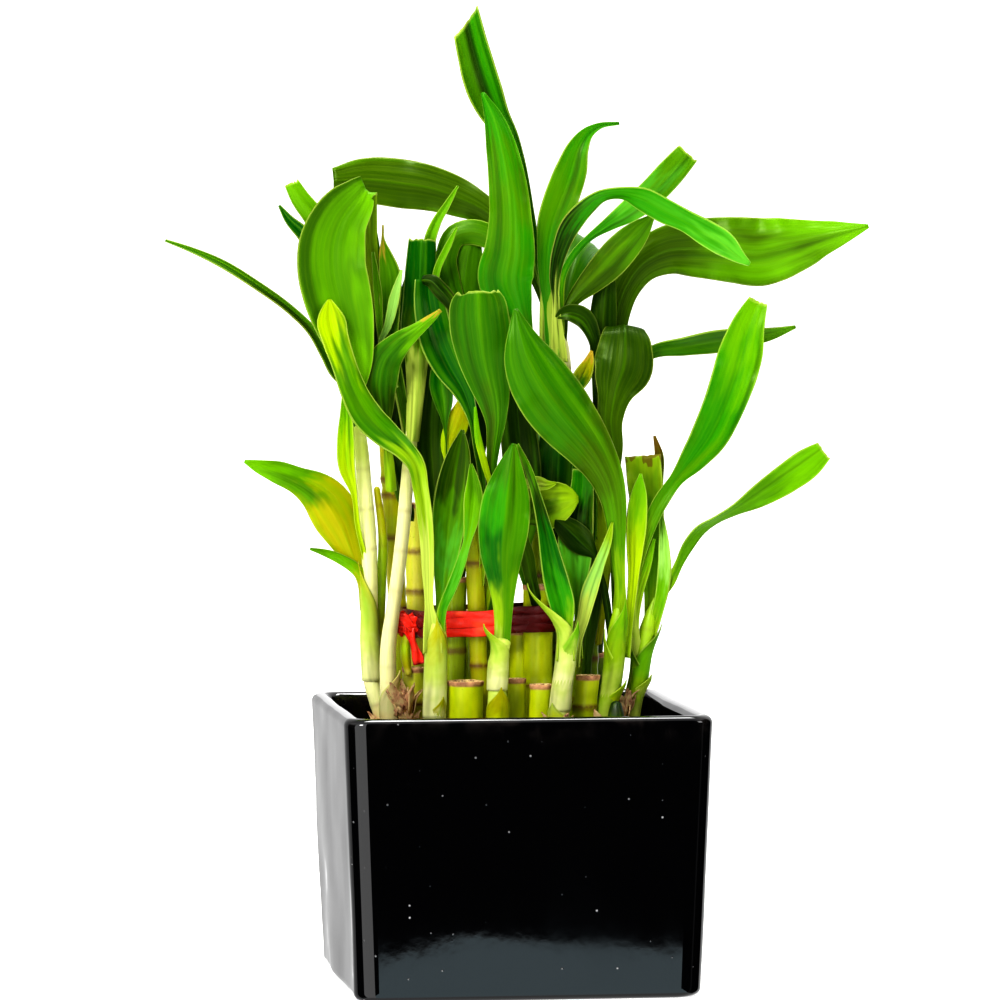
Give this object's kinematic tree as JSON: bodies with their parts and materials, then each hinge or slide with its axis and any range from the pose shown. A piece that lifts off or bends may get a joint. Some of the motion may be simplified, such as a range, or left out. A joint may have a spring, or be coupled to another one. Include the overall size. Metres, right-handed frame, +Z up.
{
  "type": "lucky bamboo in pot",
  "caption": "Lucky bamboo plant: cut stalks with leafy shoots, tied with a red ribbon and standing in gravel in a square glazed pot",
  "frame": {"origin": "middle of the pot's flat underside", "axes": "+Z up; -Y towards the front, +X to the right as seen from the front"},
  "size_m": [0.1957, 0.1131, 0.2741],
  "materials": {
    "pot_glaze": "very glossy black glaze",
    "gravel": "dull damp gravel",
    "ribbon_satin": "shiny red ribbon",
    "stalk_skin": "smooth waxy green skin with pale cut rings",
    "shoot_skin": "smooth pale green skin",
    "leaf_blade": "waxy green leaf with fine lengthwise veins"
  },
  "bodies": {
    "root": {"gravel_bed": "gravel", "leaf_back_olive": "leaf_blade", "leaf_band_glossy": "leaf_blade", "leaf_behind_arch": "leaf_blade", "leaf_centre_big": "leaf_blade", "leaf_centre_tall": "leaf_blade", "leaf_deep_trough": "leaf_blade", "leaf_fork_bright": "leaf_blade", "leaf_fork_glossy": "leaf_blade", "leaf_fork_left": "leaf_blade", "leaf_frilled_cut": "leaf_blade", "leaf_front_centre": "leaf_blade", "leaf_front_dark": "leaf_blade", "leaf_left_broad": "leaf_blade", "leaf_left_brown_tip": "leaf_blade", "leaf_left_droop": "leaf_blade", "leaf_left_rolled": "leaf_blade", "leaf_left_thin": "leaf_blade", "leaf_rear_left": "leaf_blade", "leaf_rear_low": "leaf_blade", "leaf_rear_right": "leaf_blade", "leaf_right_big": "leaf_blade", "leaf_right_brown_cut": "leaf_blade", "leaf_right_low": "leaf_blade", "leaf_right_round_fold": "leaf_blade", "leaf_right_thin": "leaf_blade", "leaf_right_upright": "leaf_blade", "leaf_top_folded": "leaf_blade", "leaf_upper_arching": "leaf_blade", "leaf_upper_cut": "leaf_blade", "leaf_upper_hooked": "leaf_blade", "leaf_upper_olive": "leaf_blade", "pot": "pot_glaze", "ribbon_band": "ribbon_satin", "ribbon_knot": "ribbon_satin", "shoot_core": "shoot_skin", "shoot_far_left": "shoot_skin", "shoot_far_right": "shoot_skin", "shoot_front": "shoot_skin", "shoot_front_right": "shoot_skin", "shoot_left_fork": "shoot_skin", "shoot_right": "shoot_skin", "shoot_white": "shoot_skin", "stalk_back_left": "stalk_skin", "stalk_back_mid": "stalk_skin", "stalk_back_right": "stalk_skin", "stalk_band_lean": "stalk_skin", "stalk_band_left": "stalk_skin", "stalk_band_wide": "stalk_skin", "stalk_core": "stalk_skin", "stalk_core_shoot": "stalk_skin", "stalk_front_mid": "stalk_skin", "stalk_front_right": "stalk_skin", "stalk_front_thin": "stalk_skin", "stalk_front_wide": "stalk_skin", "stalk_left_bulb": "stalk_skin", "stalk_left_ringed": "stalk_skin", "stalk_left_yellow": "stalk_skin", "stalk_right_olive": "stalk_skin"}
  },
  "joints": []
}
